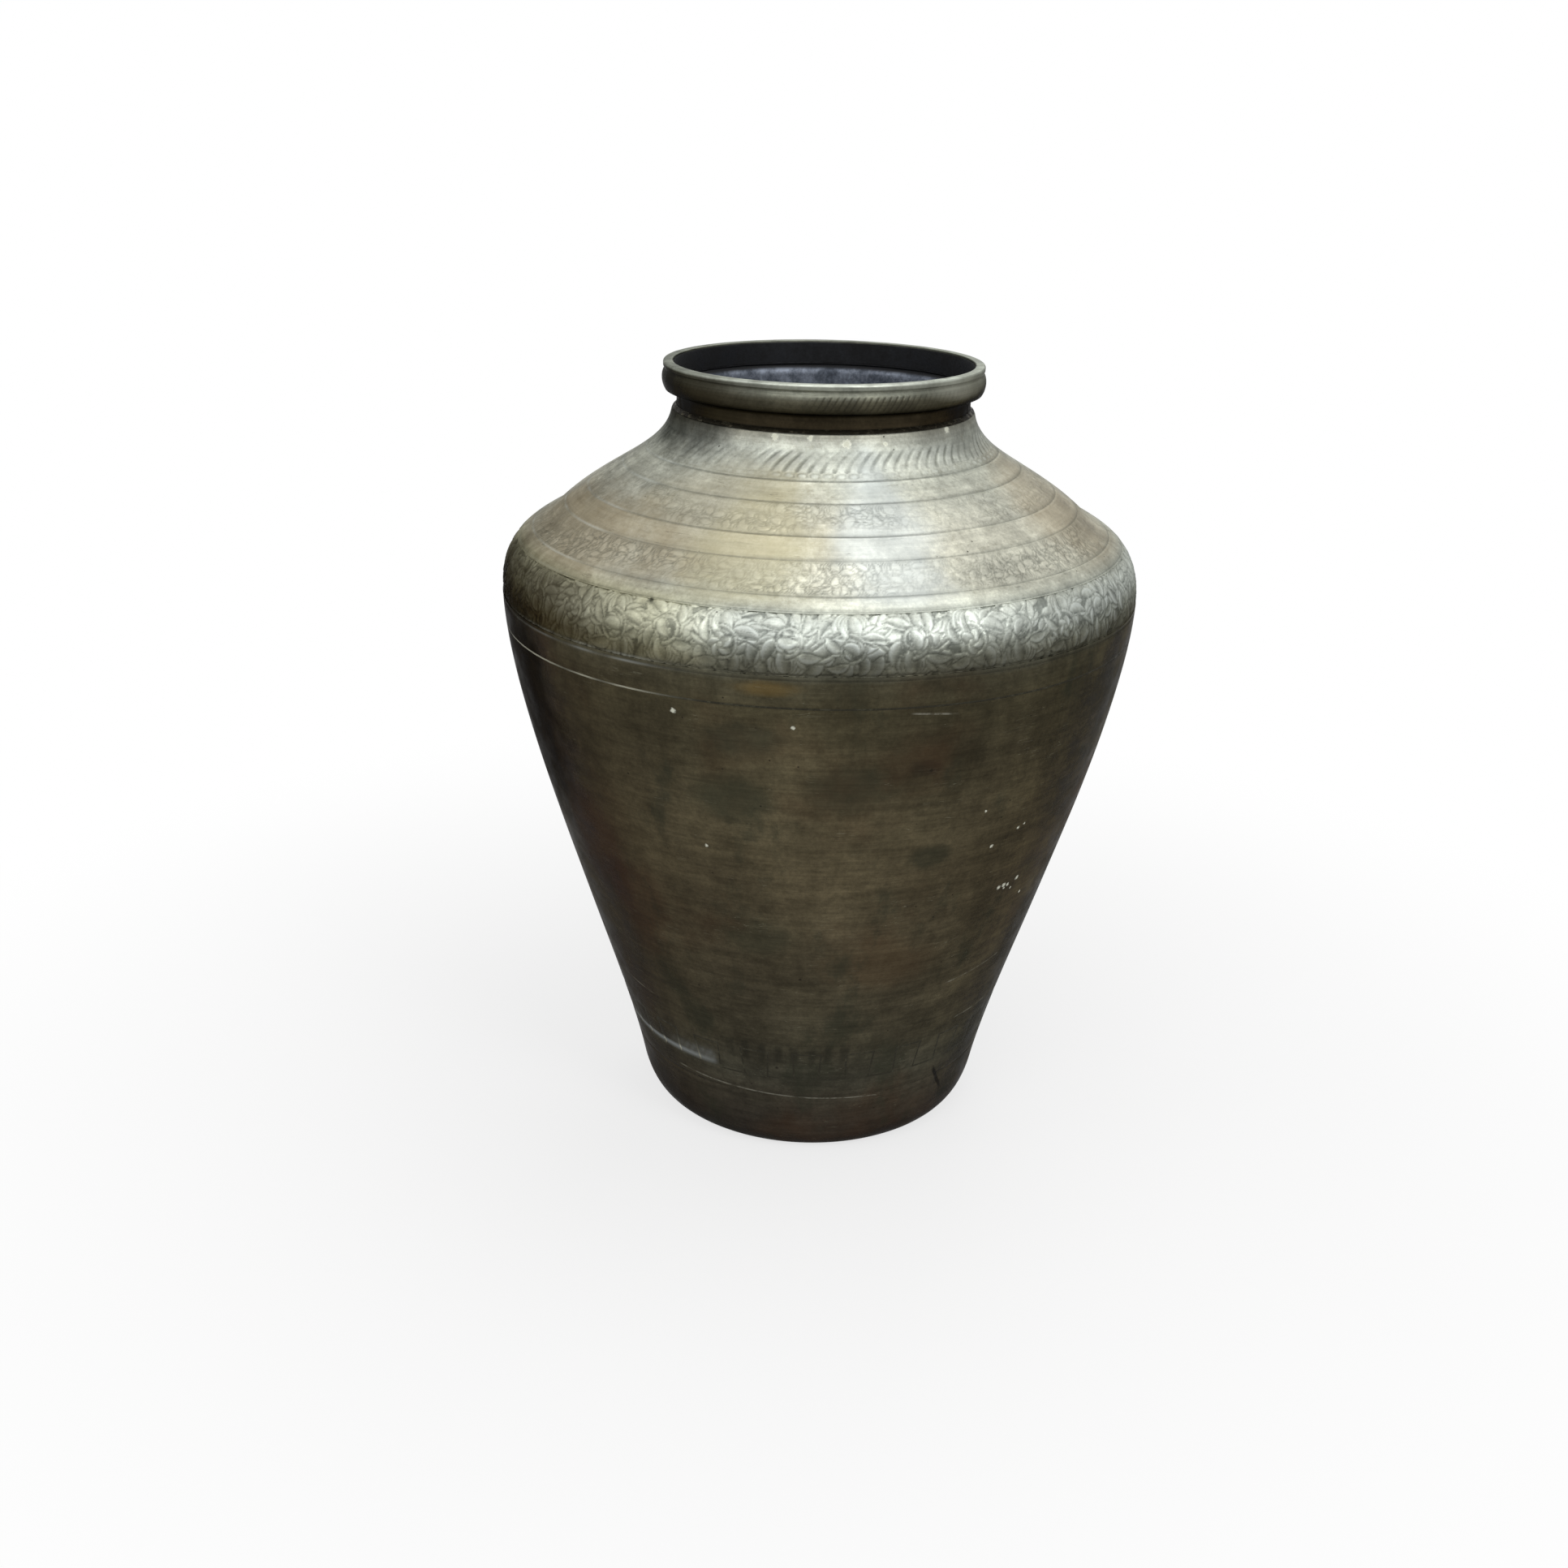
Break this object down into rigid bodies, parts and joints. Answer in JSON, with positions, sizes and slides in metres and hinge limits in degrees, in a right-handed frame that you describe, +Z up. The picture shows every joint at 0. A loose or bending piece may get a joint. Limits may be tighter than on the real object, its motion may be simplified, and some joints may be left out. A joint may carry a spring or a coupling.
{
  "type": "engraved brass water urn",
  "caption": "Round-shouldered brass water urn: tapering rolled wall on a raised base pan, domed engraved shoulder, short neck collar and a cast rim ring, joined by hard-soldered seams.",
  "frame": {"origin": "centre of the flat foot, on the surface that the urn stands on", "axes": "+Z up along the axis of the urn; -Y faces the picture's camera; the side seam of the wall is at +Y"},
  "size_m": [0.38, 0.38, 0.47],
  "materials": {
    "brass_foot": "dark grey-brown patina, dull, scuffed at the round corner",
    "brass_wall": "dark olive-brown patina over hammered and turned sheet, with fine level scratches and cloudy stains",
    "brass_shoulder": "worn pale brass, satin, with engraved bands whose cuts are dark with old polish",
    "brass_neck": "dark patina outside, tinned grey inside",
    "brass_rim": "cast ring, satin, with slanting chisel cuts on its band and a bright worn lip",
    "spelter": "yellow brazing metal, dull"
  },
  "bodies": {
    "root": {"base_pan": "brass_foot", "body_wall": "brass_wall", "shoulder_shell": "brass_shoulder", "neck_collar": "brass_neck", "rim_ring": "brass_rim", "base_seam_solder": "spelter", "side_seam_solder": "spelter", "belly_seam_solder": "spelter", "neck_seam_solder": "spelter", "collar_seam_solder": "spelter", "rim_seam_solder": "spelter"}
  },
  "joints": []
}
